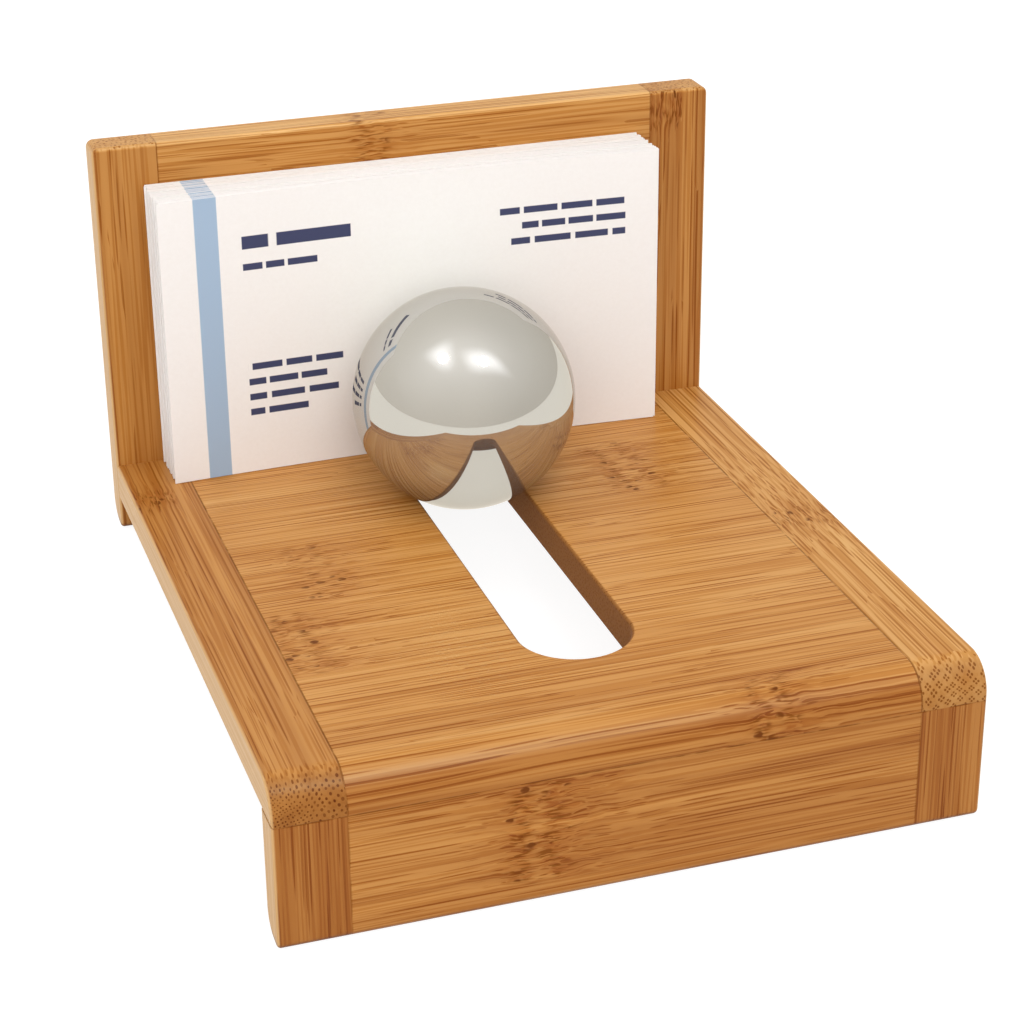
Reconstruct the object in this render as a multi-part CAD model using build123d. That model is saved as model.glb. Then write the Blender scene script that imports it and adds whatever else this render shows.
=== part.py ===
from build123d import *
import math
import os

# Business card stand of glued bamboo boards. A deck slopes down to a back panel and stands on a taller front
# apron. A steel ball rests in the deck's slot, rolls back down the slope and holds the cards to the panel.
# Each board is a centre board with a tongue at either end, held in the groove of a narrow end piece.
# The stand is drawn level, with the deck's upper rear edge at zero, and then tipped down onto its feet.

# Boards, in millimetres
stand_width = 111.0  # left side to right side
board_thickness = 6.4  # every board and end piece
end_width = 11.0  # rails, posts and stiles
deck_length = 115.5  # front face of the panel to front face of the apron
panel_rise = 58.0  # top of the panel above the deck
apron_drop = 27.0  # front lower edge of the apron below the deck's upper face
foot_drop = 12.5  # front lower edge of the panel below the deck's upper face

# Rounded edges
front_roundover = 5.6  # upper front edge of the deck
foot_roundover = 4.0  # lower rear edge of the apron and of the panel
foot_front_round = 1.3  # lower front edge of the apron and of the panel
corner_round = 1.3  # upper outer corners of the panel
arris_ease = 0.6  # every other edge that a hand meets

# Slot and ball
slot_width = 18.0
slot_front_margin = 21.7  # front end of the slot behind the apron's front face
ball_diameter = 38.0
rolling_clearance = 0.15  # ball to slot rim, and ball to front card

# Cards
card_width = 88.9
card_height = 50.8
card_thickness = 0.35
card_air = 0.02  # between one card and the next
card_count = 26
card_offset = 2.6  # the stack stands this far left of the middle
card_jog = 0.3  # how far single cards stick out of the stack, sideways
seat_clearance = 0.1  # stack to panel, and stack to deck

# Tongues and grooves
tongue_length = 3.2
tongue_thickness = 2.1
deck_tongue_setback = 14.0  # end of the tongue from the front or rear end of the deck
apron_tongue_setback = 5.0  # end of the tongue from the upper or lower end of the apron
panel_tongue_setback = 8.0  # end of the tongue from the upper or lower end of the panel
glue_gap = 0.1  # round each tongue

# Dowels
dowel_diameter = 3.0
dowel_chamfer = 0.4
dowel_clearance = 0.05  # round each dowel
dowel_end_gap = 0.3  # past either end of a dowel
back_dowel_in_deck = 9.0
back_dowel_in_panel = 4.0
apron_dowel_in_apron = 9.0
apron_dowel_in_deck = 3.0
inner_dowel_share = 0.3  # place of the inner dowels, as a share of the centre boards' width

cut_overrun = 1.0  # every cut runs this far past the piece

# Derived sizes
slope = (apron_drop - foot_drop) / deck_length  # fall of the deck, as a tangent
slope_angle = math.degrees(math.atan(slope))
inner_width = stand_width - 2 * end_width
half_width = stand_width / 2
half_inner = inner_width / 2
half_thickness = board_thickness / 2
foot_rise = board_thickness * slope  # the floor rises this much across one board's thickness
apron_front = -deck_length
apron_back = apron_front + board_thickness
ball_radius = ball_diameter / 2
slot_radius = slot_width / 2
slot_front = apron_front + slot_front_margin
slot_front_centre = slot_front + slot_radius
slot_rear_centre = -ball_radius - rolling_clearance  # the ball can reach the bare panel
slot_rear = slot_rear_centre + slot_radius
card_pitch = card_thickness + card_air
stack_front = -seat_clearance - card_count * card_pitch
ball_back = stack_front - rolling_clearance - ball_radius
rim_reach = ball_radius + rolling_clearance + arris_ease  # ball centre to the centre of the slot's rounded rim
ball_up = math.sqrt(rim_reach**2 - (slot_radius + arris_ease) ** 2) - arris_ease
golden_angle = math.pi * (3 - math.sqrt(5))  # spreads the cards' jog evenly, without a pattern


def section(*corners):
    """Side view of a board: a closed outline of (back, up, rounding) corners, in the plane across the stand."""
    face = make_face(Polyline(*[(back, up) for back, up, rounding in corners], close=True))
    for back, up, rounding in corners:
        if rounding:
            face = fillet(face.vertices().sort_by_distance((back, up, 0))[0], rounding)
    return Plane.YZ * face


def span_box(x_span, back_span, up_span):
    """Block between two limits along each axis."""
    limits = (x_span, back_span, up_span)
    size = [abs(high - low) for low, high in limits]
    middle = [(low + high) / 2 for low, high in limits]
    return Pos(*middle) * Box(*size)


def tongue(side, back_span, up_span, gap):
    """Tongue on one end of a centre board, or the groove for it when a gap is given."""
    root = half_inner - gap
    tip = half_inner + tongue_length + gap
    back_grown = (min(back_span) - gap, max(back_span) + gap)
    up_grown = (min(up_span) - gap, max(up_span) + gap)
    return span_box((side * root, side * tip), back_grown, up_grown)


def centre_board(profile, spans):
    """Board across the middle of the stand, with a tongue at either end."""
    board = Pos(X=-half_inner) * extrude(profile, amount=inner_width)
    for side in (-1, 1):
        board += tongue(side, *spans, 0)
    return board


def end_piece(profile, spans, side, joined_edge):
    """Narrow piece at one end of a board: its outer edges are eased, but for the edge joined to a neighbour."""
    near = half_inner if side > 0 else -half_width
    piece = Pos(X=near) * extrude(profile, amount=end_width)
    outer = piece.faces().sort_by(Axis.X)[-1 if side > 0 else 0]
    joined = outer.edges().sort_by(joined_edge)[-1]
    piece = fillet([edge for edge in outer.edges() if edge != joined], arris_ease)
    return piece - tongue(side, *spans, glue_gap)


def stile(profile, spans, side):
    """End piece of the panel: its upper outer corner is rounded, and its outer and upper edges are eased."""
    near = half_inner if side > 0 else -half_width
    piece = Pos(X=near) * extrude(profile, amount=end_width)
    corner = piece.edges().filter_by(Axis.Y).sort_by_distance((side * half_width, half_thickness, panel_rise))[0]
    piece = fillet(corner, corner_round)
    eased = []
    for face in piece.faces().filter_by(Axis.Y):
        inner_edge = face.edges().sort_by(Axis.X)[0 if side > 0 else -1]
        lower_edge = face.edges().sort_by(Axis.Z)[0]
        eased += [edge for edge in face.edges() if edge not in (inner_edge, lower_edge)]
    return fillet(eased, arris_ease) - tongue(side, *spans, glue_gap)


def dowel(place, length, gap, end_gap):
    """Round peg along the place's own axis, or the hole for it when gaps are given."""
    peg = Cylinder(dowel_diameter / 2 + gap, length + 2 * end_gap)
    if not gap:
        peg = chamfer(peg.edges().filter_by(GeomType.CIRCLE), dowel_chamfer)
    return place * peg


# Side views of the three boards
deck_profile = section(
    (0, 0, 0),
    (apron_front, 0, front_roundover),
    (apron_front, -board_thickness, 0),
    (0, -board_thickness, 0),
)
apron_profile = section(
    (apron_front, -board_thickness, 0),
    (apron_back, -board_thickness, 0),
    (apron_back, -apron_drop + foot_rise, foot_roundover),
    (apron_front, -apron_drop, foot_front_round),
)
panel_foot = (
    (board_thickness, -foot_drop + foot_rise, foot_roundover),
    (0, -foot_drop, foot_front_round),
)
panel_profile = section((0, panel_rise, arris_ease), (board_thickness, panel_rise, arris_ease), *panel_foot)
stile_profile = section((0, panel_rise, 0), (board_thickness, panel_rise, 0), *panel_foot)

# Tongues: where each runs, back to front and up
half_tongue = tongue_thickness / 2
deck_middle = -half_thickness
apron_middle = apron_front + half_thickness
panel_middle = half_thickness
deck_spans = (
    (apron_front + deck_tongue_setback, -deck_tongue_setback),
    (deck_middle - half_tongue, deck_middle + half_tongue),
)
apron_spans = (
    (apron_middle - half_tongue, apron_middle + half_tongue),
    (-apron_drop + apron_tongue_setback, -board_thickness - apron_tongue_setback),
)
panel_spans = (
    (panel_middle - half_tongue, panel_middle + half_tongue),
    (-foot_drop + panel_tongue_setback, panel_rise - panel_tongue_setback),
)

# Dowels: two in the end pieces and two in the centre boards, at either joint
end_middle = half_width - end_width / 2
inner_place = inner_dowel_share * inner_width
dowel_places = (-end_middle, -inner_place, inner_place, end_middle)
back_dowel_length = back_dowel_in_deck + back_dowel_in_panel
back_dowel_middle = (back_dowel_in_panel - back_dowel_in_deck) / 2
apron_dowel_length = apron_dowel_in_apron + apron_dowel_in_deck
apron_dowel_middle = -board_thickness + (apron_dowel_in_deck - apron_dowel_in_apron) / 2
back_places = [Pos(x, back_dowel_middle, deck_middle) * Rot(X=90) for x in dowel_places]
apron_places = [Pos(x, apron_middle, apron_dowel_middle) for x in dowel_places]
back_dowels = [dowel(place, back_dowel_length, 0, 0) for place in back_places]
apron_dowels = [dowel(place, apron_dowel_length, 0, 0) for place in apron_places]
back_holes = [dowel(place, back_dowel_length, dowel_clearance, dowel_end_gap) for place in back_places]
apron_holes = [dowel(place, apron_dowel_length, dowel_clearance, dowel_end_gap) for place in apron_places]

# Deck board: the slot runs with the slope, and its rims are eased above and below
deck_board = Pos(X=-half_inner) * extrude(deck_profile, amount=inner_width)
slot_length = slot_rear - slot_front
slot_place = Pos(0, (slot_rear + slot_front) / 2, -board_thickness - cut_overrun) * Rot(Z=90)
slot_depth = board_thickness + 2 * cut_overrun
deck_board -= extrude(slot_place * SlotOverall(slot_length, slot_width), amount=slot_depth)
for face in (deck_board.faces().sort_by(Axis.Z)[-1], deck_board.faces().sort_by(Axis.Z)[0]):
    rim = face.inner_wires()[0].edges()
    deck_board = fillet([edge for edge in deck_board.edges() if edge in rim], arris_ease)
for side in (-1, 1):
    deck_board += tongue(side, *deck_spans, 0)

# Cards: one behind the other on the deck, each jogged a little sideways
cards = []
for index in range(card_count):
    card_back = -seat_clearance - (index + 1) * card_pitch
    card_x = -card_offset + card_jog * math.sin(index * golden_angle)
    cards.append(
        span_box(
            (card_x - card_width / 2, card_x + card_width / 2),
            (card_back, card_back + card_thickness),
            (seat_clearance, seat_clearance + card_height),
        )
    )

pieces = {
    "deck_board": deck_board - back_holes - apron_holes,
    "deck_rail_left": end_piece(deck_profile, deck_spans, -1, Axis.Y) - back_holes - apron_holes,
    "deck_rail_right": end_piece(deck_profile, deck_spans, 1, Axis.Y) - back_holes - apron_holes,
    "apron_board": centre_board(apron_profile, apron_spans) - apron_holes,
    "apron_post_left": end_piece(apron_profile, apron_spans, -1, Axis.Z) - apron_holes,
    "apron_post_right": end_piece(apron_profile, apron_spans, 1, Axis.Z) - apron_holes,
    "back_board": centre_board(panel_profile, panel_spans) - back_holes,
    "back_stile_left": stile(stile_profile, panel_spans, -1) - back_holes,
    "back_stile_right": stile(stile_profile, panel_spans, 1) - back_holes,
    "back_dowels": Compound(back_dowels),
    "apron_dowels": Compound(apron_dowels),
    "steel_ball": Pos(0, ball_back, ball_up) * Sphere(ball_radius),
    "business_cards": Compound(cards),
}

# Tip the stand down the slope onto its feet, and put the origin under the middle of it
tipped = {name: Rot(X=-slope_angle) * piece for name, piece in pieces.items()}
boxes = [piece.bounding_box() for piece in tipped.values()]
floor = min(box.min.Z for box in boxes)
middle = (min(box.min.Y for box in boxes) + max(box.max.Y for box in boxes)) / 2
os.makedirs("parts", exist_ok=True)
for name, piece in tipped.items():
    export_step(Pos(0, -middle, -floor) * piece, f"parts/{name}.step")

print("slope", round(slope_angle, 4), "origin in the level frame", round(middle, 4), round(floor, 4))
print("ball", round(ball_back, 4), round(ball_up, 4), "slot", round(slot_rear, 4), round(slot_front, 4))
print("ball travel", round(ball_back - slot_front_centre, 4))
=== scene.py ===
# %% [markdown]
# A desk stand for calling cards: a sloping deck and a back panel of bamboo, and a steel ball that rolls in
# a slot and leans on the cards. The solid model gives every size and place, so this lesson only adds looks.
# It loads that model first.

# %% The imported frame
import math
from functools import partialmethod

import bpy
import numpy as np
from mathutils import Euler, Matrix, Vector


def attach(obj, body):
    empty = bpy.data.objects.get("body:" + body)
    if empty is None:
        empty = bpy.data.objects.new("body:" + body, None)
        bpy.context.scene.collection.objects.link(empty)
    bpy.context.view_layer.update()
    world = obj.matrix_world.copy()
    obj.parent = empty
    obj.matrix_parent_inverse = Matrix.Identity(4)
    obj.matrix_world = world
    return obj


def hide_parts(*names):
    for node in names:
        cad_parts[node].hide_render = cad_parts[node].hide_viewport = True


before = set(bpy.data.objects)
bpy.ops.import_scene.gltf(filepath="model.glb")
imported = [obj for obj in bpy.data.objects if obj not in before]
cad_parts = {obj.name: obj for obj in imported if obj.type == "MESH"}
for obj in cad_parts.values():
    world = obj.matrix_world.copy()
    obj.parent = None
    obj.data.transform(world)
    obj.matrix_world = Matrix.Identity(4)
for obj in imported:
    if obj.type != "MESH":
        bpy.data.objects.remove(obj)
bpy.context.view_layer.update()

scene = bpy.context.scene
scene.view_settings.view_transform = "Standard"
print("nodes:", ", ".join(sorted(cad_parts)))

# %% [markdown]
# The deck slopes, so level coordinates are handy: u to the right, v to the rear, n up from the deck, in
# millimetres. Every board is square in them. The panel's front face is at v = 0 and the deck's upper face
# at n = 0. One turn about X and one shift lead from there to the frame, and back.

# %% Level coordinates
MM = 0.001
SLOPE = math.radians(7.1555)
LEVEL_ORIGIN = Vector((0, 52.1427, 12.4026))
TIP = Euler((-SLOPE, 0, 0)).to_matrix()


def to_frame(level):
    """Turns an array of level points (mm) down by the slope, shifts it and gives metres in the frame."""
    return (np.asarray(level, float) @ np.array(TIP).T + np.array(LEVEL_ORIGIN)) * MM


print("deck slope in degrees:", round(math.degrees(SLOPE), 3))

# %% [markdown]
# A small workbench keeps long node trees readable: each method adds one node, wires what it is given, a
# number or another node's output, and hands back the output. Writing out every link works too, but hides
# the idea of a finish among the wires.

# %% A workbench for node trees
class Bench:
    """Adds nodes to one tree. Values may be numbers, tuples or outputs of other nodes."""

    # the Mix node's sockets go by number, because their names repeat
    MIX_NUMBERS, MIXED_NUMBER = (0, 2, 3), 0
    MIX_COLOURS, MIXED_COLOUR = (0, 6, 7), 2

    def __init__(self, tree):
        self.tree = tree

    def feed(self, socket, value):
        """Wires an output to the socket or sets a plain value; None changes nothing."""
        if isinstance(value, bpy.types.NodeSocket):
            self.tree.links.new(value, socket)
        elif value is not None:
            socket.default_value = value

    def feed_all(self, sockets, feeds):
        """Feeds several sockets, by name or by number."""
        for key, value in dict(feeds).items():
            self.feed(sockets[key], value)

    def node(self, kind, feeds=(), **settings):
        made = self.tree.nodes.new("ShaderNode" + kind)
        for name, value in settings.items():
            setattr(made, name, value)
        self.feed_all(made.inputs, feeds)
        return made

    def calc(self, operation, *values):
        return self.node("Math", enumerate(values), operation=operation).outputs[0]

    times = partialmethod(calc, "MULTIPLY")
    times_plus = partialmethod(calc, "MULTIPLY_ADD")
    minus = partialmethod(calc, "SUBTRACT")
    most = partialmethod(calc, "MAXIMUM")
    size = partialmethod(calc, "ABSOLUTE")

    def arrow(self, operation, first, second=None):
        feeds = {0: first, "Scale" if operation == "SCALE" else 1: second}
        made = self.node("VectorMath", feeds, operation=operation)
        return made.outputs["Value" if operation in ("LENGTH", "DOT_PRODUCT") else "Vector"]

    def ease(self, value, low, high):
        """0 at low, 1 at high, with a smooth step between; low may be above high."""
        made = self.node("MapRange", {"Value": value, "From Min": low, "From Max": high},
                         interpolation_type="SMOOTHSTEP")
        return made.outputs["Result"]

    def bell(self, value, width):
        """1 at zero, falling off on both sides as a bell of that width."""
        share = self.calc("DIVIDE", value, width)
        return self.calc("EXPONENT", self.times(self.times(share, share), -1.0))

    def between(self, amount, first, second):
        feeds = zip(self.MIX_NUMBERS, (amount, first, second))
        return self.node("Mix", feeds).outputs[self.MIXED_NUMBER]

    def tint(self, amount, under, over, kind="MIX"):
        feeds = zip(self.MIX_COLOURS, (amount, under, over))
        return self.node("Mix", feeds, data_type="RGBA", blend_type=kind).outputs[self.MIXED_COLOUR]

    def apart(self, vector):
        return self.node("SeparateXYZ", {"Vector": vector}).outputs

    def join(self, x, y, z):
        return self.node("CombineXYZ", {"X": x, "Y": y, "Z": z}).outputs[0]

    def place(self, vector, shift=(0, 0, 0), turn=(0, 0, 0), scale=(1, 1, 1)):
        """The vector scaled, then turned, then shifted."""
        feeds = {"Vector": vector, "Location": shift, "Rotation": turn, "Scale": scale}
        return self.node("Mapping", feeds).outputs[0]

    def clouds(self, vector, scale=1.0, detail=2.0):
        return self.node("TexNoise", {"Vector": vector, "Scale": scale, "Detail": detail}).outputs

    def streaks(self, vector, scale, detail):
        """Soft noise, stretched by its own scale along each axis."""
        return self.clouds(self.place(vector, scale=scale), detail=detail)

    def cells(self, vector, scatter=1.0, **settings):
        """A Voronoi pattern of cells one unit apart, in rows at scatter 0 and strewn at 1."""
        feeds = {"Vector": vector, "Scale": 1.0, "Randomness": scatter}
        return self.node("TexVoronoi", feeds, **settings).outputs


print("workbench ready")

# %% [markdown]
# A finish that several materials share goes into a node group with named sockets. Two more helpers start a
# material and bring the frame's metres back to level millimetres in it.

# %% Groups, materials and colours
def new_group(title, inputs, outputs):
    """An empty shader group, its sockets' names by kind. Gives its bench, what goes in and what comes out."""
    tree = bpy.data.node_groups.new(title, "ShaderNodeTree")
    for way, sockets in (("INPUT", inputs), ("OUTPUT", outputs)):
        for kind, names in sockets.items():
            for name in names:
                tree.interface.new_socket(name, in_out=way, socket_type="NodeSocket" + kind)
    given = tree.nodes.new("NodeGroupInput").outputs
    return Bench(tree), given, tree.nodes.new("NodeGroupOutput").inputs


def use_group(bench, title, feeds):
    """Places a group in a tree, with its own values."""
    return bench.node("Group", feeds, node_tree=bpy.data.node_groups[title]).outputs


def new_material(title):
    """A material with a Principled shader. Gives it, its bench and the shader's inputs."""
    material = bpy.data.materials.new(title)
    material.use_nodes = True
    tree = material.node_tree
    return material, Bench(tree), tree.nodes["Principled BSDF"].inputs


def to_level(bench, spot, shift=(0, 0, 0)):
    """Undoes to_frame in a material: metres in the frame become level millimetres, then shifted."""
    back = Vector(shift) - TIP.transposed() @ LEVEL_ORIGIN
    return bench.place(spot, shift=tuple(back), turn=(SLOPE, 0, 0), scale=(1 / MM,) * 3)


def srgb(red, green, blue):
    """A screen colour, 0 to 255, as the linear colour that a shader takes."""
    share = np.array((red, green, blue)) / 255
    linear = np.where(share <= 0.04045, share / 12.92, ((share + 0.055) / 1.055) ** 2.4)
    return (*linear.tolist(), 1.0)


print("red of a mid grey in linear light:", round(srgb(128, 128, 128)[0], 3))

# %% [markdown]
# A bamboo stem is a bundle of dark, tough strands in pale, soft tissue. Sawn along, the strands show as
# streaks; sawn across, as dots. A flat picture of streaks could be wrapped on, but it would break at every
# edge. A solid pattern, strands running through space, is cut in the right way by every face.
# Boards are glued up from strips, so first every strip gets its own stretch of stem.

# %% Strips of stem
STEM_SPREAD = (400.0, 30.0, 30.0)


def strip_of_stem(bench, given):
    """Draws for each strip across a board a shift to its own stretch of stem, and a tone.

    The strip's number is the place across less Strip Start, over Strip Width, rounded down. White noise of
    it and of the board's own Stem is the draw.
    """
    across = bench.apart(given["Grain"])[1]
    from_start = bench.minus(across, given["Strip Start"])
    strip = bench.calc("FLOOR", bench.calc("DIVIDE", from_start, given["Strip Width"]))
    key = bench.arrow("ADD", given["Stem"], bench.join(strip, 0.0, 0.0))
    chance = bench.node("TexWhiteNoise", {"Vector": key}).outputs
    stem = bench.arrow("ADD", given["Stem"], bench.arrow("MULTIPLY", chance["Color"], STEM_SPREAD))
    return stem, chance["Value"]


print("strips are up to", STEM_SPREAD[0], "mm of stem apart")

# %% [markdown]
# Across the grain the strands are dots: single ones, strewn or in rows, or bundles of four. They crowd
# towards the stem's skin, so the grid that they sit on is made of rings and rays about a far point, and its
# cells get smaller towards it. An even grid would be simpler, but looks like wallpaper on a cut end.

# %% Dots across the grain
GRID_START = (0.31, 0.47, 0.0)
THIN_STRAND, STRAND_GAIN, STRAND_CORE = 0.14, 0.2, 0.65
SIZE_LUCK, DARK_LUCK = (0.4, 0.8), (0.5, 0.5)
BUNDLE_PLACE, BUNDLE_STEP, BUNDLE_DARK = (0.17, 0.17, 0.0), (0.155, 0.095), 0.8


def strand_dots(bench, given, drifted, stem):
    """Dots of a flat Voronoi pattern on rings and rays: single ones, or bundles of four.

    Ring is the logarithm of the distance from Crowd and ray the angle about it, both over Closeness, so the
    cells stay square. A single dot is a smooth step of the distance from its cell's middle, and a bundle
    one of the distance from four places about that middle.
    """
    _, side, deep = bench.apart(drifted)
    side = bench.minus(side, given["Crowd"])
    away = bench.arrow("LENGTH", bench.join(side, deep, 0.0))
    ring = bench.calc("DIVIDE", bench.calc("LOGARITHM", away, math.e), given["Closeness"])
    ray = bench.calc("DIVIDE", bench.calc("ARCTAN2", deep, side), given["Closeness"])
    grid = bench.arrow("ADD", bench.join(ring, ray, 0.0), bench.arrow("MULTIPLY", stem, GRID_START))
    section = bench.place(grid, turn=(0, 0, math.pi / 4))
    cell = bench.cells(section, given["Scatter"], voronoi_dimensions="2D")
    luck = bench.apart(cell["Color"])
    radius = bench.times_plus(given["Density"], STRAND_GAIN, THIN_STRAND)
    radius = bench.times(radius, bench.times_plus(luck[0], *SIZE_LUCK))
    single = bench.ease(cell["Distance"], radius, bench.times(radius, STRAND_CORE))
    single = bench.times(single, bench.times_plus(luck[1], *DARK_LUCK))
    off = bench.arrow("ABSOLUTE", bench.arrow("SUBTRACT", section, cell["Position"]))
    corner = bench.arrow("LENGTH", bench.arrow("SUBTRACT", off, BUNDLE_PLACE))
    bundle = bench.times(bench.ease(corner, *BUNDLE_STEP), BUNDLE_DARK)
    return bench.between(given["Cluster"], single, bundle)


print("a strand is", THIN_STRAND, "to", THIN_STRAND + STRAND_GAIN, "of its cell")

# %% [markdown]
# Along the grain the strands wander, dip under a face and come up again, which ends the streaks. Each could
# be drawn as a line with two ends; noise that moves the whole pattern up and down does it for all of them.
# Hair-fine fibres and broad bands of tone are stretched noise.

# %% Strands through space
MIDDLE = (0.5, 0.5, 0.5)
DRIFT_WAVES, DRIFT_REACH = 0.22, (0.0, 0.5, 1.8)
FIBRE_SCALE = (1 / 30, 2.5, 2.5)
BAND_SCALE = (1 / 140, 1 / 2.8, 1 / 2.8)


def make_strands():
    """The group of strands, fibres, bands and strip tones. Grain is in millimetres, x along the stem.

    Crowd is the place across the grain towards which the strands crowd, and Closeness their spacing as a
    share of the distance to it. Noise moves them sideways and, more, in depth; Run is the length of its
    waves along the grain.
    """
    bench, given, put = new_group(
        "bamboo strands",
        {"Vector": ("Grain", "Stem"),
         "Float": ("Crowd", "Closeness", "Run", "Density", "Scatter", "Cluster", "Strip Start",
                   "Strip Width")},
        {"Float": ("Strands", "Fibres", "Bands", "Strip Tone")},
    )
    stem, tone = strip_of_stem(bench, given)
    place = bench.arrow("ADD", given["Grain"], stem)
    waves = bench.join(bench.calc("DIVIDE", 1.0, given["Run"]), DRIFT_WAVES, DRIFT_WAVES)
    slow = bench.clouds(bench.arrow("MULTIPLY", place, waves), detail=0.0)["Color"]
    drift = bench.arrow("MULTIPLY", bench.arrow("SUBTRACT", slow, MIDDLE), DRIFT_REACH)
    drifted = bench.arrow("ADD", given["Grain"], drift)
    bench.feed_all(put, {
        "Strands": strand_dots(bench, given, drifted, stem), "Strip Tone": tone,
        "Fibres": bench.streaks(place, FIBRE_SCALE, 0.0)["Fac"],
        "Bands": bench.streaks(place, BAND_SCALE, 2.0)["Fac"]})


make_strands()
print("group made: bamboo strands")

# %% [markdown]
# Every stem has knuckles, the rings where leaves grew. There the strands bend, break into short dark dashes
# and leave small pits. Each strip of a board shows its own. They could be painted one by one; here a group
# makes one from a place, a reach along the grain and a breadth across it.

# %% Where a knuckle's marks lie
RAGGED_SCALE, RAGGED = (1 / 40, 0.9, 0.9), 9.0
FULL_BREADTH = 0.85
COLUMN_WIDTH = 1.1
SHORT_SIDE, SMOKE_FADE = 1.7, 1.2
MIDDLE_STEP, MIDDLE_SMOKE = (-1.8, -0.2), 0.4


def knuckle_field(bench, given):
    """Two masks: the two columns of marks across the grain, and the smoky halo about them.

    The distance from the ring is made ragged by noise that hardly changes along the grain. A bell about half
    of Columns on either side is the columns. An exponential of what lies beyond, over Reach, is the halo;
    it fades faster on one side and is weaker between the columns.
    """
    along, across, _ = bench.apart(given["Grain"])
    ragged = bench.streaks(given["Grain"], RAGGED_SCALE, 1.0)["Fac"]
    from_ring = bench.times_plus(bench.minus(ragged, 0.5), RAGGED, bench.minus(along, given["Along"]))
    aside = bench.size(bench.minus(across, given["Across"]))
    inside = bench.ease(aside, given["Breadth"], bench.times(given["Breadth"], FULL_BREADTH))
    inside = bench.times(inside, given["Force"])
    half = bench.times(given["Columns"], 0.5)
    off_column = bench.minus(bench.size(from_ring), half)
    columns = bench.times(bench.bell(off_column, COLUMN_WIDTH), inside)
    before = bench.most(bench.minus(bench.times(from_ring, -1.0), half), 0.0)
    after = bench.most(bench.minus(from_ring, half), 0.0)
    beyond = bench.calc("DIVIDE", bench.times_plus(before, SHORT_SIDE, after), given["Reach"])
    smoke = bench.calc("EXPONENT", bench.times(beyond, -SMOKE_FADE))
    outer = bench.ease(off_column, *MIDDLE_STEP)
    outer = bench.times_plus(outer, 1.0 - MIDDLE_SMOKE, MIDDLE_SMOKE)
    halo = bench.times(bench.times(smoke, outer), inside)
    return columns, halo


print("a knuckle's edge is ragged by up to", RAGGED / 2, "mm")

# %% [markdown]
# The marks themselves are noise of different stretch, let through by those two masks: long soft streaks in
# the halo, short dashes mostly in the columns, and round pits there, each with a pale rim.

# %% Knuckles
STREAK_SCALE, STREAK_STEP = (1 / 14, 1.5, 1.5), (0.26, 0.52)
DASH_SCALE, DASH_STEP, DASH_STRAY = (1 / 3.2, 3.2, 3.2), (0.52, 0.6), 0.4
PIT_SCALE, PIT_SCATTER, PIT_STEP = (1 / 3.2, 1 / 2.3, 1 / 2.3), 0.9, (0.29, 0.2)
RIM_PLACE, RIM_WIDTH = 0.33, 0.06
WAVE_SCALE, WAVE_BEND = (1 / 5, 1 / 2.5, 1 / 2.5), (0.0, 3.0, 3.0)


def make_knuckle():
    """The group of one knuckle: its marks are smooth steps of noise times its columns or its halo.

    Pits are Voronoi cells' middles and flecks a bell about each. Bend moves the strands by noise in the halo.
    """
    bench, given, put = new_group(
        "bamboo knuckle",
        {"Vector": ["Grain"], "Float": ("Along", "Across", "Reach", "Breadth", "Columns", "Force")},
        {"Float": ("Shade", "Dashes", "Pits", "Flecks"), "Vector": ["Bend"]},
    )
    grain = given["Grain"]
    columns, halo = knuckle_field(bench, given)
    long = bench.streaks(grain, STREAK_SCALE, 2.0)["Fac"]
    short = bench.streaks(grain, DASH_SCALE, 1.0)["Fac"]
    room = bench.times_plus(halo, DASH_STRAY, columns)
    pores = bench.cells(bench.place(grain, scale=PIT_SCALE), PIT_SCATTER)["Distance"]
    rim = bench.bell(bench.minus(pores, RIM_PLACE), RIM_WIDTH)
    waves = bench.streaks(grain, WAVE_SCALE, 1.0)["Color"]
    turn = bench.arrow("MULTIPLY", bench.arrow("SUBTRACT", waves, MIDDLE), WAVE_BEND)
    bench.feed_all(put, {
        "Shade": bench.times(halo, bench.ease(long, *STREAK_STEP)),
        "Dashes": bench.calc("MINIMUM", bench.times(bench.ease(short, *DASH_STEP), room), 1.0),
        "Pits": bench.times(bench.ease(pores, *PIT_STEP), columns),
        "Flecks": bench.times(rim, columns),
        "Bend": bench.arrow("SCALE", turn, halo)})


make_knuckle()
print("group made: bamboo knuckle")
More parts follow.
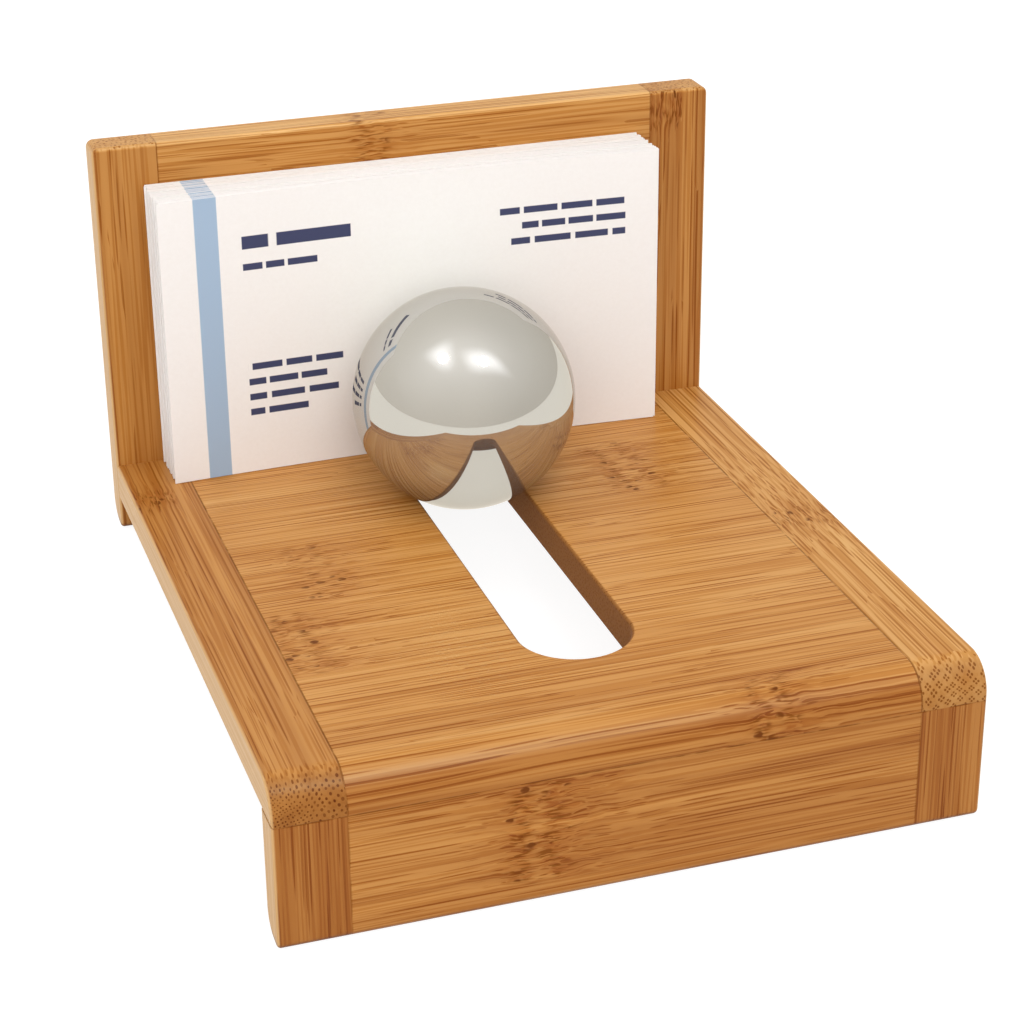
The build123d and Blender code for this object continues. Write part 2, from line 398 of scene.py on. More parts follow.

# %% [markdown]
# The colours: a pale ground with reddish bands, hair-fine fibres, darker strands, and the knuckles on top.
# Cut ends soak up more lacquer and turn brown; the stand's outer sides are the stem's soft inside and stay
# pale; the slot's wall is a plainer, darker brown. Stains multiply what is under them, as a real stain does,
# and only scorched marks, glue and a painted shade along the lower edge cover it.

# %% Bamboo colours
PALE, HONEY, DEEP = srgb(214, 165, 102), srgb(194, 137, 71), srgb(155, 94, 34)
# the darkest colour, for scorched marks and glue, also paints the shade along the lower edge on the desk
SCORCH_AND_FOOT_SHADE, SLOT_BROWN, INNER_SIDE = srgb(106, 54, 10), srgb(150, 98, 52), srgb(206, 164, 112)
FIBRE_STAIN, STRAND_STAIN = (0.79, 0.64, 0.36, 1), (0.6, 0.4, 0.12, 1)
HALO_STAIN, END_STAIN = (0.75, 0.56, 0.28, 1), (0.7, 0.62, 0.54, 1)
DOT_STAIN = (0.62, 0.52, 0.42, 1)
BAND_SWING, STRIP_SWING = 0.75, 0.24
FIBRE_STEP, FIBRE_SHARE, SIDE_FIBRES = (0.45, 0.62), 0.75, 0.3
END_DULL, SLOT_STRANDS, JOINT_AND_FOOT_SHADE_SHARE = 0.7, 0.7, 0.7
MARKS = [
    # mask, share, stain, kind
    ("Strands", 1.0, STRAND_STAIN, "MULTIPLY"),
    ("Shade", 1.0, HALO_STAIN, "MULTIPLY"),
    ("Dashes", 0.68, SCORCH_AND_FOOT_SHADE, "MIX"),
    ("Pits", 1.5, SCORCH_AND_FOOT_SHADE, "MIX"),
    ("Flecks", 0.1, PALE, "MIX"),
]


def bamboo_colour(bench, given, open_end):
    """Lays the stains over the ground one by one, each by its mask. open_end fades the fibres on cut ends."""
    tone = bench.times_plus(bench.minus(given["Bands"], 0.5), BAND_SWING, given["Depth"])
    tone = bench.times_plus(bench.minus(given["Strip Tone"], 0.5), STRIP_SWING, tone)
    ramp = bench.node("ValToRGB", {"Fac": tone})
    stops = ramp.color_ramp.elements
    stops[0].color = PALE
    stops[1].color = DEEP
    stops.new(0.5).color = HONEY
    hair = bench.times(bench.ease(given["Fibres"], *FIBRE_STEP), open_end)
    wood = bench.tint(bench.times(hair, FIBRE_SHARE), ramp.outputs[0], FIBRE_STAIN, "MULTIPLY")
    for name, share, stain, kind in MARKS:
        wood = bench.tint(bench.times(given[name], share), wood, stain, kind)
    cut = bench.tint(given["End"], wood, END_STAIN, "MULTIPLY")
    wood = bench.tint(bench.times(given["End"], given["Strands"]), cut, DOT_STAIN, "MULTIPLY")
    soft = bench.tint(bench.times(hair, SIDE_FIBRES), INNER_SIDE, FIBRE_STAIN, "MULTIPLY")
    wood = bench.tint(given["Side"], wood, soft)
    dark = bench.times(given["Strands"], SLOT_STRANDS)
    wood = bench.tint(given["Slot"], wood, bench.tint(dark, SLOT_BROWN, STRAND_STAIN, "MULTIPLY"))
    # glue lines and the painted shade along the lower edge both turn to the darkest colour
    return bench.tint(bench.times(given["Joint And Foot Shade"], JOINT_AND_FOOT_SHADE_SHARE), wood, SCORCH_AND_FOOT_SHADE)


print("darkest mark in linear light:", [round(part, 3) for part in SCORCH_AND_FOOT_SHADE[:3]])

# %% [markdown]
# Satin lacquer lies over the wood. It sinks into pits, dashes, joints and strands and leaves them dry, which
# keeps them dark where a lamp is mirrored. The outer sides have less of it and the slot has none. One group
# puts out the colour, the roughness, the share of lacquer and a height for the bump.

# %% Bamboo finish
LACQUER, BARE_SIDE, DRY_STRANDS = 0.26, 0.7, 0.5
SMOOTH, FIBRE_ROUGH, SLOT_ROUGH = 0.3, 0.14, 0.3
SINKS = {"Strands": 0.6, "Dashes": 0.5, "Pits": 0.5, "Joint And Foot Shade": 3.0}


def make_bamboo():
    """The group of the finish. Lacquer falls with bare and dry places; the height sinks each kind of mark."""
    bench, given, put = new_group(
        "bamboo finish",
        {"Float": ("Strands", "Fibres", "Bands", "Strip Tone", "Shade", "Dashes", "Pits", "Flecks", "End",
                   "Side", "Joint And Foot Shade", "Slot", "Depth")},
        {"Color": ["Colour"], "Float": ("Roughness", "Lacquer", "Height")},
    )
    open_end = bench.times_plus(given["End"], -END_DULL, 1.0)
    bare = bench.most(given["Slot"], bench.times(given["Side"], BARE_SIDE))
    glossy = bench.times(bench.times_plus(bare, -LACQUER, LACQUER), open_end)
    marks = bench.most(given["Joint And Foot Shade"], bench.calc("ADD", given["Dashes"], given["Pits"]))
    dry = bench.times_plus(given["Strands"], DRY_STRANDS, marks)
    rough = bench.times_plus(given["Fibres"], FIBRE_ROUGH, SMOOTH)
    height = given["Fibres"]
    for name, sunk in SINKS.items():
        height = bench.times_plus(given[name], -sunk, height)
    bench.feed_all(put, {
        "Colour": bamboo_colour(bench, given, open_end), "Height": height,
        "Roughness": bench.times_plus(given["Slot"], SLOT_ROUGH, rough),
        "Lacquer": bench.times(glossy, bench.ease(dry, 1.0, 0.0))})


make_bamboo()
print("group made: bamboo finish")

# %% [markdown]
# A dark thread of glue shows where boards meet, patchy as it squeezed out, and a painted shade darkens the
# lower edge where it stands on the desk. Grooves could be cut for them, but they are a tenth of a millimetre
# wide, so they are masks by place. The slot's wall is found in the same way, by its distance from the slot's
# middle line.

# %% Glue lines, painted foot shade and slot
HALF_WIDTH, HALF_INNER, THICK, APRON_BACK = 55.5, 44.5, 6.4, -109.1
SLOT_HALF, SLOT_FRONT, SLOT_REAR = 9.0, -84.8, -19.15
SLOT_EDGE, SLOT_FULL = 0.5, 0.15
END_JOINT, LEDGE_JOINT, LEDGE_SOFT = (0.2, 0.08), (0.17, 0.07), 0.5
GLUE_SCALE, GLUE_STEP = 0.3, (0.2, 0.6)
SIDE_FAINT = 0.7
# height over the desk and strength of the painted shade along the lower edge
FOOT_SHADE_HEIGHT, FOOT_SHADE_STRENGTH = 1.5 * MM, 1.4


def joint_lines(bench, level, side, strength):
    """Narrow smooth steps of the distance from the joints' planes, broken up by noise, faint on the sides.

    The planes are the end pieces' inner sides, left and right, and in front the deck's underside.
    """
    u, v, n = bench.apart(level)
    from_end = bench.size(bench.minus(bench.size(u), HALF_INNER))
    from_deck = bench.size(bench.calc("ADD", n, THICK))
    in_front = bench.ease(v, APRON_BACK + LEDGE_SOFT, APRON_BACK)
    ledge = bench.times(bench.ease(from_deck, *LEDGE_JOINT), in_front)
    lines = bench.times(bench.ease(from_end, *END_JOINT), strength)
    lines = bench.most(lines, ledge)
    lines = bench.times(lines, bench.times_plus(side, -SIDE_FAINT, 1.0))
    glue = bench.clouds(level, scale=GLUE_SCALE, detail=2.0)["Fac"]
    return bench.times(lines, bench.ease(glue, *GLUE_STEP))


def painted_foot_shade(bench, spot):
    """Painted shade along the lower edge on the desk: a smooth step of the height over the desk, in metres.
    """
    return bench.times(bench.ease(bench.apart(spot)[2], FOOT_SHADE_HEIGHT, 0.0), FOOT_SHADE_STRENGTH)


def slot_wall(bench, level):
    """1 within the slot's half width, and a bit more, of the line between its two ends' centres."""
    u, v, _ = bench.apart(level)
    nearest = bench.most(bench.calc("MINIMUM", v, SLOT_REAR), SLOT_FRONT)
    off_line = bench.arrow("LENGTH", bench.join(u, bench.minus(v, nearest), 0.0))
    return bench.ease(off_line, SLOT_HALF + SLOT_EDGE, SLOT_HALF + SLOT_FULL)


print("joints at", HALF_INNER, "mm left and right of the middle")

# %% [markdown]
# Each board has its own material: the same three groups, with its own grain direction, stretch of stem,
# knuckles and joints. A Mapping node levels the pattern, a second one turns its x along the grain. One
# material with switches would do for all nine boards, but nine short recipes are easier to read and change.

# %% A recipe for bamboo
GRAINS = {
    # axis along the grain, turn that lays x along it
    "sideways": (0, (0, 0, 0)),
    "sideways upright": (0, (-math.pi / 2, 0, 0)),
    "front to back": (1, (0, 0, -math.pi / 2)),
    "upright": (2, (math.pi / 2, 0, math.pi / 2)),
}
FAR_AWAY, RAIL_MIDDLE = 1000.0, 50.0
SIDE_STEP = HALF_WIDTH - 0.45, HALF_WIDTH - 0.1
END_STEP = 0.2, 0.7
BUMP_STRENGTH, BUMP_DEPTH = 0.6, 0.03 * MM
WOOD_SPECULAR, COAT_ROUGH = 0.08, 0.4


def knuckle_marks(bench, grained, knuckles):
    """The strongest mark of all knuckles at each place, and the grain bent by all of them."""
    masks, bent = {}, grained
    for along, across, reach, breadth, columns, force in knuckles:
        mark = use_group(bench, "bamboo knuckle", {
            "Grain": grained, "Along": along, "Across": across, "Reach": reach,
            "Breadth": breadth, "Columns": columns, "Force": force})
        for name in ("Shade", "Dashes", "Pits", "Flecks"):
            masks[name] = bench.most(masks.get(name, 0.0), mark[name])
        bent = bench.arrow("ADD", bent, mark["Bend"])
    return masks, bent


def bamboo(title, grain, stem, knuckles, run=38.0, spacing=0.7, density=0.5, scatter=1.0, cluster=0.0,
           crowd=FAR_AWAY, strip=(0.0, 22.3), depth=0.5, patches=(), dip=None, end_stain=1.0, glue_line=0.5,
           slotted=False):
    """One piece's bamboo. A knuckle is (along, across, reach, breadth, columns, force).

    A patch (axis, from, to, deeper) eases the tone between two places, and dip (from, to, depth) sinks the
    strands between two places along the grain, so that a face cuts other ones there.
    """
    material, bench, shader = new_material(title)
    lengthwise, turn = GRAINS[grain]
    spot = bench.node("TexCoord").outputs
    level = to_level(bench, spot["Object"])
    grained = bench.place(level, turn=turn)
    masks, bent = knuckle_marks(bench, grained, knuckles)
    if dip:
        sunk = bench.times(bench.ease(bench.apart(grained)[0], dip[0], dip[1]), dip[2])
        bent = bench.arrow("ADD", bent, bench.join(0.0, 0.0, sunk))
    to_crowd = FAR_AWAY if crowd == FAR_AWAY else abs(crowd - RAIL_MIDDLE)
    strands = use_group(bench, "bamboo strands", {
        "Grain": bent, "Stem": stem, "Crowd": crowd, "Closeness": spacing / to_crowd, "Run": run,
        "Density": density, "Scatter": scatter, "Cluster": cluster, "Strip Start": strip[0],
        "Strip Width": strip[1]})
    masks.update(strands.items())

    sides = bench.apart(level)
    for axis, start, stop, deeper in patches:
        depth = bench.times_plus(bench.ease(sides[axis], start, stop), deeper, depth)
    facing = bench.apart(bench.place(spot["Normal"], turn=(SLOPE, 0, 0)))[lengthwise]
    ends = bench.ease(bench.size(facing), *END_STEP)
    masks["End"] = bench.times(ends, end_stain)
    masks["Side"] = bench.ease(bench.size(sides[0]), *SIDE_STEP)
    lines = joint_lines(bench, level, masks["Side"], glue_line)
    # the painted shade along the lower edge, where it stands on the desk, joins the glue lines
    masks["Joint And Foot Shade"] = bench.most(lines, painted_foot_shade(bench, spot["Object"]))
    if slotted:
        masks["Slot"] = slot_wall(bench, level)

    finish = use_group(bench, "bamboo finish", dict(masks, Depth=depth))
    bump = bench.node("Bump", {"Strength": BUMP_STRENGTH, "Distance": BUMP_DEPTH, "Height": finish["Height"]})
    bench.feed_all(shader, {
        "Base Color": finish["Colour"], "Roughness": finish["Roughness"], "Coat Weight": finish["Lacquer"],
        "Normal": bump.outputs[0], "Specular IOR Level": WOOD_SPECULAR, "Coat Roughness": COAT_ROUGH})
    return material


print("grain directions:", ", ".join(GRAINS))

# %% [markdown]
# Now the boards' own values: where the knuckles are, how close the strands stand, how dark each board is.
# The stiles' and the panel's upper edges are paler, the apron deepens to the right, and the right rail has
# its strands in bundles.

# %% Bamboo for each board
BOARDS = {
    "deck_board": bamboo(
        "deck bamboo", "sideways", (0, 0, 0),
        [(-32.5, -52.0, 6.0, 11.0, 4.0, 0.55), (-41.0, -75.0, 7.0, 11.0, 4.0, 0.7),
         (29.0, -30.0, 9.0, 11.0, 5.0, 0.7), (21.0, -113.0, 8.0, 6.0, 4.0, 0.8)],
        spacing=0.58, density=0.72, strip=(-130.3, 22.3), depth=0.48, patches=[(1, -112.0, -115.4, 0.32)],
        glue_line=1.0, slotted=True),
    "deck_rail_left": bamboo(
        "left rail bamboo", "front to back", (310, 40, 7), [(-16.0, 52.0, 4.0, 4.0, 3.0, 0.8)],
        spacing=0.64, density=0.7, scatter=0.4, crowd=66.5, depth=0.62, glue_line=1.0),
    "deck_rail_right": bamboo(
        "right rail bamboo", "front to back", (620, 80, 3), [(-59.0, -50.0, 6.0, 6.0, 4.0, 0.65)],
        run=60.0, spacing=1.38, scatter=0.25, cluster=1.0, depth=0.28, dip=(-82.0, -22.0, 3.5),
        glue_line=0.8),
    "apron_board": bamboo(
        "apron bamboo", "sideways upright", (930, 20, 11), [(-16.0, -15.0, 9.0, 9.0, 4.5, 1.0)],
        spacing=0.55, density=0.72, strip=(-28.0, 23.0), depth=0.72, patches=[(0, -40.0, 40.0, 0.16)]),
    "apron_post_left": bamboo(
        "left post bamboo", "upright", (150, 60, 5), [], spacing=0.55, density=0.8, depth=0.95),
    "apron_post_right": bamboo(
        "right post bamboo", "upright", (450, 10, 9), [], spacing=0.6, density=0.85, depth=0.85),
    "back_board": bamboo(
        "panel bamboo", "sideways upright", (770, 50, 2), [(-7.0, 48.0, 5.0, 11.0, 3.0, 0.65)],
        spacing=0.62, density=0.65, strip=(-9.0, 22.3), depth=0.66, patches=[(2, 57.3, 57.7, -0.8)]),
    "back_stile_left": bamboo(
        "left stile bamboo", "upright", (250, 70, 8), [],
        spacing=0.85, density=0.6, depth=0.8, patches=[(2, 57.2, 57.8, -0.55)], end_stain=0.4),
    "back_stile_right": bamboo(
        "right stile bamboo", "upright", (550, 30, 6), [(54.0, 47.0, 3.0, 4.0, 3.0, 0.8)],
        spacing=0.8, density=0.6, depth=0.85, patches=[(2, 57.2, 57.8, -0.55)], end_stain=0.4),
}
print("bamboo materials:", len(BOARDS))

# %% [markdown]
# The boards come from the solid model, whose meshes are loose triangles. Left so, every facet of a rounded
# edge would show in the lacquer. A copy with its points merged can be shaded smooth, with normals weighted
# by area so that flat faces stay flat. The loose original is then hidden.

# %% Boards with smooth edges
SMOOTH_ANGLE = math.radians(32)
MERGE_DIGITS = 7


def new_piece(title, points, faces, material):
    """A smooth mesh object at the origin, from frame points in metres."""
    mesh = bpy.data.meshes.new(title)
    mesh.from_pydata(points, [], faces)
    mesh.shade_smooth()
    mesh.materials.append(material)
    piece = bpy.data.objects.new(title, mesh)
    scene.collection.objects.link(piece)
    return piece


def dressed_board(node, title, material):
    """Merges a node's loose triangles: equal points become one, and faces are re-numbered to them."""
    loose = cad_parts[node].data
    points = np.empty(len(loose.vertices) * 3, np.float32)
    loose.vertices.foreach_get("co", points)
    corners = np.empty(len(loose.loops), np.int32)
    loose.loops.foreach_get("vertex_index", corners)
    rounded = np.round(points.reshape(-1, 3), MERGE_DIGITS)
    single, number = np.unique(rounded, axis=0, return_inverse=True)
    faces = number.reshape(-1)[corners].reshape(-1, 3)
    distinct = (faces != np.roll(faces, 1, axis=1)).all(axis=1)
    board = new_piece(title, single, faces[distinct], material)
    board.data.set_sharp_from_angle(angle=SMOOTH_ANGLE)
    board.modifiers.new("flat faces stay flat", "WEIGHTED_NORMAL").keep_sharp = True
    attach(board, "stand")
    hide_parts(node)
    return board


for node, material in BOARDS.items():
    board = dressed_board(node, node.replace("_", "-") + "-lacquered", material)
    print(board.name, len(board.data.polygons), "faces")

# %% [markdown]
# The ball is ground and polished steel. On a mirror every facet shows, so it is a fine grid of its own:
# longitude and latitude, with its poles on the axle it rolls about. A rounded cube would do too, but its
# rows of faces don't run evenly.

# %% Ball's surface
BALL_RADIUS, BALL_CENTRE = 19.0, (0.0, -28.87, 16.66)
BALL_RINGS, BALL_STEPS = 127, 256


def grid_faces(rows, columns):
    """Quads between neighbouring points of a grid whose last column joins the first."""
    row = np.arange(rows - 1)[:, None] * columns
    column = np.arange(columns)[None, :]
    after = (column + 1) % columns
    corners = (row + column, row + after, row + columns + after, row + columns + column)
    return np.stack(np.broadcast_arrays(*corners), -1).reshape(-1, 4)


def ball_surface(rings, steps):
    """Latitude circles from pole to pole along x, each a sine of the polar angle wide, and the two poles."""
    polar = np.linspace(0, math.pi, rings + 2)[1:-1, None]
    turn = np.linspace(0, 2 * math.pi, steps, endpoint=False)[None, :]
    axes = (np.cos(polar), np.sin(polar) * np.cos(turn), np.sin(polar) * np.sin(turn))
    circles = np.stack(np.broadcast_arrays(*axes), -1).reshape(-1, 3)
    points = np.concatenate([circles, [(1, 0, 0), (-1, 0, 0)]])
    first = np.full(steps, len(circles))
    step = np.arange(steps)
    after = (step + 1) % steps
    base = (rings - 1) * steps
    caps = np.concatenate([np.stack([first, step, after], -1),
                           np.stack([first + 1, base + after, base + step], -1)])
    return points, grid_faces(rings, steps)[:, ::-1].tolist() + caps.tolist()


unit, ball_faces = ball_surface(BALL_RINGS, BALL_STEPS)
print("ball points:", len(unit))

# %% [markdown]
# Polished steel is a mirror, but not a perfect one: a handled ball has a faint film and hairline scuffs. So
# it is a little less than wholly metal, which gives a slight milky haze, its rim is tinted darker, and
# stretched noise in the roughness makes the scuffs.

# %% Steel ball
STEEL_CLEAR, STEEL_FILM = srgb(201, 200, 195), srgb(196, 195, 191)
STEEL_RIM = (0.84, 0.81, 0.77, 1)
STEEL_METAL = 0.88
FILM_SCALE, HAIR_SCALE, HAIR_TURN = 0.12, (0.15, 6.0, 6.0), (0.4, 0.9, 0.2)
SCUFF_STEP = 0.66, 0.74
POLISH, FILM_ROUGH, SCUFF_ROUGH = 0.015, 0.03, 0.03


def steel():
    """Mirror steel: soft noise is the film, a smooth step of noise stretched to hairs is the scuffs."""
    material, bench, shader = new_material("polished steel")
    spot = bench.place(bench.node("TexCoord").outputs["Object"], scale=(1 / MM,) * 3)
    film = bench.clouds(spot, scale=FILM_SCALE, detail=3.0)["Fac"]
    hairs = bench.clouds(bench.place(spot, turn=HAIR_TURN, scale=HAIR_SCALE), detail=2.0)["Fac"]
    scuff = bench.ease(hairs, *SCUFF_STEP)
    rough = bench.times_plus(film, FILM_ROUGH, POLISH)
    bench.feed_all(shader, {
        "Base Color": bench.tint(film, STEEL_CLEAR, STEEL_FILM), "Specular Tint": STEEL_RIM,
        "Roughness": bench.times_plus(scuff, SCUFF_ROUGH, rough), "Metallic": STEEL_METAL})
    return material


ball = new_piece("steel-ball-polished", to_frame(unit * BALL_RADIUS + BALL_CENTRE), ball_faces, steel())
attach(ball, "ball")
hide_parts("steel_ball")
print("ball faces:", len(ball.data.polygons))

# %% [markdown]
# Twenty-six cards lean on the panel. The ball holds their middle, so towards both ends they spring forward
# a little, the front one most. A bend modifier on flat cards would do it; here the bow is in the formula.
# One grid goes round each card: back, upper edge, front, lower edge. No two cards lie quite alike.

# %% Card surfaces
CARD_WIDE, CARD_HIGH, CARD_THICK, CARD_PITCH = 88.9, 50.8, 0.35, 0.37
CARD_COUNT, CARD_MIDDLE, CARD_FOOT, CARD_BACK = 26, -2.6, 0.1, -0.1
CARD_STEPS, CARD_SEED = 33, 26
CARD_JOG, CARD_RISE = 0.3, 0.12
CARD_SPRING, SPRING_GROWTH, SPRING_LUCK = 1.5, 1.3, (0.9, 1.0)


def card_surfaces():
    """Rows of points across each card, back and front, with v bowed by the square of the place across."""
    rng = np.random.default_rng(CARD_SEED)
    across = np.linspace(-1, 1, CARD_STEPS)
    number = np.arange(CARD_COUNT)
    jog = rng.uniform(-CARD_JOG, CARD_JOG, CARD_COUNT)
    rise = rng.uniform(-CARD_RISE, CARD_RISE, CARD_COUNT)
    growth = (number / (CARD_COUNT - 1)) ** SPRING_GROWTH
    spring = np.maximum.accumulate(CARD_SPRING * growth * rng.uniform(*SPRING_LUCK, CARD_COUNT))
    u = CARD_MIDDLE + jog[:, None] + across[None, :] * CARD_WIDE / 2
    back = CARD_BACK - number[:, None] * CARD_PITCH - spring[:, None] * across[None, :] ** 2
    low = np.full_like(u, CARD_FOOT)
    high = low + CARD_HIGH + rise[:, None]
    ring = [(back, low), (back, high), (back - CARD_THICK, high), (back - CARD_THICK, low)]
    return np.stack([np.stack([u, v, n], -1) for v, n in ring], 1)


def card_faces(rows, columns):
    """Quads round the four rows of one card, closed, and a cap at each end."""
    row = np.arange(rows)[:, None] * columns
    column = np.arange(columns - 1)[None, :]
    below = (row + columns) % (rows * columns)
    corners = (row + column, row + column + 1, below + column + 1, below + column)
    quads = np.stack(np.broadcast_arrays(*corners), -1)
    first = row.reshape(1, -1)
    return np.concatenate([quads.reshape(-1, 4), first, first[:, ::-1] + columns - 1])


stack = card_surfaces()
print("cards, rows, columns:", stack.shape[:3])

# %% [markdown]
# The print is plain word-long bars, nothing to read. Each line of it is a box by place on the card, and a
# Voronoi pattern along the line, which draws the gaps between words. A group makes one line.

# %% Print on the cards
PRINT_SOFT = 0.06
WORD_SCATTER, GAP_STEP = 0.8, (0.05, 0.07)
PRINT_LINES = [
    # left, right, foot, height, word, seed
    (14.0, 33.2, 41.0, 2.3, 12.0, 0.3),
    (14.0, 27.6, 37.2, 1.2, 5.0, 7.38),
    (14.0, 31.0, 19.0, 1.2, 6.0, 3.7),
    (14.0, 28.0, 16.2, 1.2, 5.0, 9.4),
    (14.0, 30.0, 13.4, 1.2, 7.0, 5.5),
    (14.0, 24.4, 10.6, 1.2, 6.0, 1.9),
    (60.0, 83.0, 41.6, 1.2, 6.0, 2.2),
    (64.0, 83.0, 38.8, 1.2, 5.0, 8.3),
    (62.0, 83.0, 36.0, 1.2, 7.0, 4.6),
]


def make_print_line():
    """A bar from Left to Right at a Foot and of a Height, cut into words by the borders of cells along it."""
    bench, given, put = new_group(
        "card print line",
        {"Vector": ["Place"], "Float": ("Left", "Right", "Foot", "Height", "Word", "Seed")},
        {"Float": ["Ink"]},
    )
    s, _, t = bench.apart(given["Place"])
    top = bench.calc("ADD", given["Foot"], given["Height"])
    along = bench.calc("ADD", bench.calc("DIVIDE", s, given["Word"]), given["Seed"])
    cell = bench.node("TexVoronoi", {"W": along, "Scale": 1.0, "Randomness": WORD_SCATTER},
                      voronoi_dimensions="1D", feature="DISTANCE_TO_EDGE")
    ink = bench.ease(cell.outputs["Distance"], *GAP_STEP)
    for more, less in ((s, given["Left"]), (given["Right"], s), (t, given["Foot"]), (top, t)):
        within = bench.ease(bench.minus(more, less), -PRINT_SOFT, PRINT_SOFT)
        ink = bench.times(ink, within)
    bench.feed(put["Ink"], ink)


make_print_line()
print("print lines:", len(PRINT_LINES))

# %% [markdown]
# Card board is matt and warm white, with a fine cloudiness of fibres. Only the front is printed; the blue
# band runs off the card, so its colour shows on the cut edges too, but fainter.

# %% Cards
PAPER, PAPER_FIBRE = srgb(241, 238, 236), srgb(236, 232, 229)
BAND_BLUE, INK = srgb(160, 182, 206), srgb(62, 66, 98)
BAND_LEFT, BAND_RIGHT, BAND_ON_EDGE = 6.0, 10.0, 0.4
FACE_FROM, FACE_FULL = 0.6, 0.8
PAPER_SMOOTH, PAPER_ROUGH, PAPER_SPECULAR = 0.5, 0.15, 0.2
PAPER_SCALE, PAPER_BUMP, PAPER_DEPTH = 1.6, 0.3, 0.01 * MM


def card_paper():
    """Paper from noise; the band and the ink are masks by place on the card and by the way a face looks."""
    material, bench, shader = new_material("card")
    spot = bench.node("TexCoord").outputs
    place = to_level(bench, spot["Object"], (CARD_WIDE / 2 - CARD_MIDDLE, 0, -CARD_FOOT))
    across = bench.apart(place)[0]
    fibre = bench.clouds(place, scale=PAPER_SCALE, detail=4.0)["Fac"]
    facing = bench.apart(bench.place(spot["Normal"], turn=(SLOPE, 0, 0)))[1]
    front = bench.ease(facing, -FACE_FROM, -FACE_FULL)
    rear = bench.ease(facing, FACE_FROM, FACE_FULL)
    ink = 0.0
    for left, right, foot, height, word, seed in PRINT_LINES:
        line = use_group(bench, "card print line", {
            "Place": place, "Left": left, "Right": right, "Foot": foot,
            "Height": height, "Word": word, "Seed": seed})
        ink = bench.most(ink, line["Ink"])
    band = bench.times(bench.ease(across, BAND_LEFT - PRINT_SOFT, BAND_LEFT + PRINT_SOFT),
                       bench.ease(across, BAND_RIGHT + PRINT_SOFT, BAND_RIGHT - PRINT_SOFT))
    printed = bench.times_plus(front, 1.0 - BAND_ON_EDGE, BAND_ON_EDGE)
    printed = bench.times_plus(rear, -BAND_ON_EDGE, printed)
    colour = bench.tint(fibre, PAPER, PAPER_FIBRE)
    colour = bench.tint(bench.times(band, printed), colour, BAND_BLUE)
    colour = bench.tint(bench.times(ink, front), colour, INK)
    bump = bench.node("Bump", {"Strength": PAPER_BUMP, "Distance": PAPER_DEPTH, "Height": fibre})
    bench.feed_all(shader, {
        "Base Color": colour, "Roughness": bench.times_plus(fibre, PAPER_ROUGH, PAPER_SMOOTH),
        "Normal": bump.outputs[0], "Specular IOR Level": PAPER_SPECULAR})
    return material


count, rows, columns, _ = stack.shape
starts = np.arange(count)[:, None, None] * rows * columns
all_faces = (card_faces(rows, columns)[None] + starts).reshape(-1, 4)
cards = new_piece("calling-cards", to_frame(stack.reshape(-1, 3)), all_faces, card_paper())
cards.data.set_sharp_from_angle(angle=SMOOTH_ANGLE)
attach(cards, "cards")
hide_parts("business_cards")
print("cards:", count, "faces:", len(cards.data.polygons))

# %% [markdown]
# Inside the joints sit small beech dowels, out of sight. They keep the solid model's meshes and get a plain
# wood of stretched noise.

# %% Dowels
BEECH, BEECH_FLECK = srgb(228, 200, 160), srgb(196, 158, 112)
FLECK_SCALE = (2.0, 2.0, 0.3)
BEECH_SMOOTH, BEECH_ROUGH = 0.5, 0.2


def dowel_wood():
    """Pale beech: short flecks along the dowel, from noise stretched along the frame's z."""
    material, bench, shader = new_material("dowel wood")
    spot = bench.place(bench.node("TexCoord").outputs["Object"], scale=(1 / MM,) * 3)
    fleck = bench.streaks(spot, FLECK_SCALE, 3.0)["Fac"]
    bench.feed_all(shader, {
        "Base Color": bench.tint(fleck, BEECH, BEECH_FLECK),
        "Roughness": bench.times_plus(fleck, BEECH_ROUGH, BEECH_SMOOTH)})
    return material


pale_wood = dowel_wood()
for node in ("back_dowels", "apron_dowels"):
    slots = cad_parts[node].data.materials
    slots.clear()
    slots.append(pale_wood)
print("dowels finished")

# %% [markdown]
# A sheet of white paper carries the stand and keeps its shadow. Lit plainly it comes out grey, and more
# lamps would burn out the cards. So to camera, glossy and transmission rays it glows, and only part of what
# they see is shade. Steel dims what it mirrors, so there the glow is stronger and warmer.

# %% Floor
FLOOR_HALF = 3.0
WHITE = (1, 1, 1, 1)
FLOOR_BOUNCE = (0.82, 0.82, 0.82, 1)
FLOOR_GLOW, FLOOR_IN_STEEL = 0.9, (1.17, 1.12, 1.02, 1)
FLOOR_SHADE, SHADE_IN_STEEL = (0.22, 0.22, 0.22, 1), (0.1, 0.1, 0.1, 1)


def shiny_rays(bench, path):
    """1 for rays that were mirrored or went through glass, else 0."""
    return bench.most(path["Is Glossy Ray"], path["Is Transmission Ray"])


def floor_paper():
    """White paper: it scatters most light on to the stand, but to the eye it is glow and a part of shade."""
    material, bench, _ = new_material("floor paper")
    tree = bench.tree
    tree.nodes.remove(tree.nodes["Principled BSDF"])
    path = bench.node("LightPath").outputs
    mirrored = path["Is Glossy Ray"]
    seen = bench.most(path["Is Camera Ray"], shiny_rays(bench, path))
    shade = bench.tint(mirrored, FLOOR_SHADE, SHADE_IN_STEEL)
    matt = bench.node("BsdfDiffuse", {"Color": bench.tint(seen, FLOOR_BOUNCE, shade)})
    warm = bench.tint(mirrored, WHITE, FLOOR_IN_STEEL)
    glow = bench.node("Emission", {"Color": warm, "Strength": bench.times(seen, FLOOR_GLOW)})
    both = bench.node("AddShader", {0: matt.outputs[0], 1: glow.outputs[0]})
    bench.feed(tree.nodes["Material Output"].inputs["Surface"], both.outputs[0])
    return material


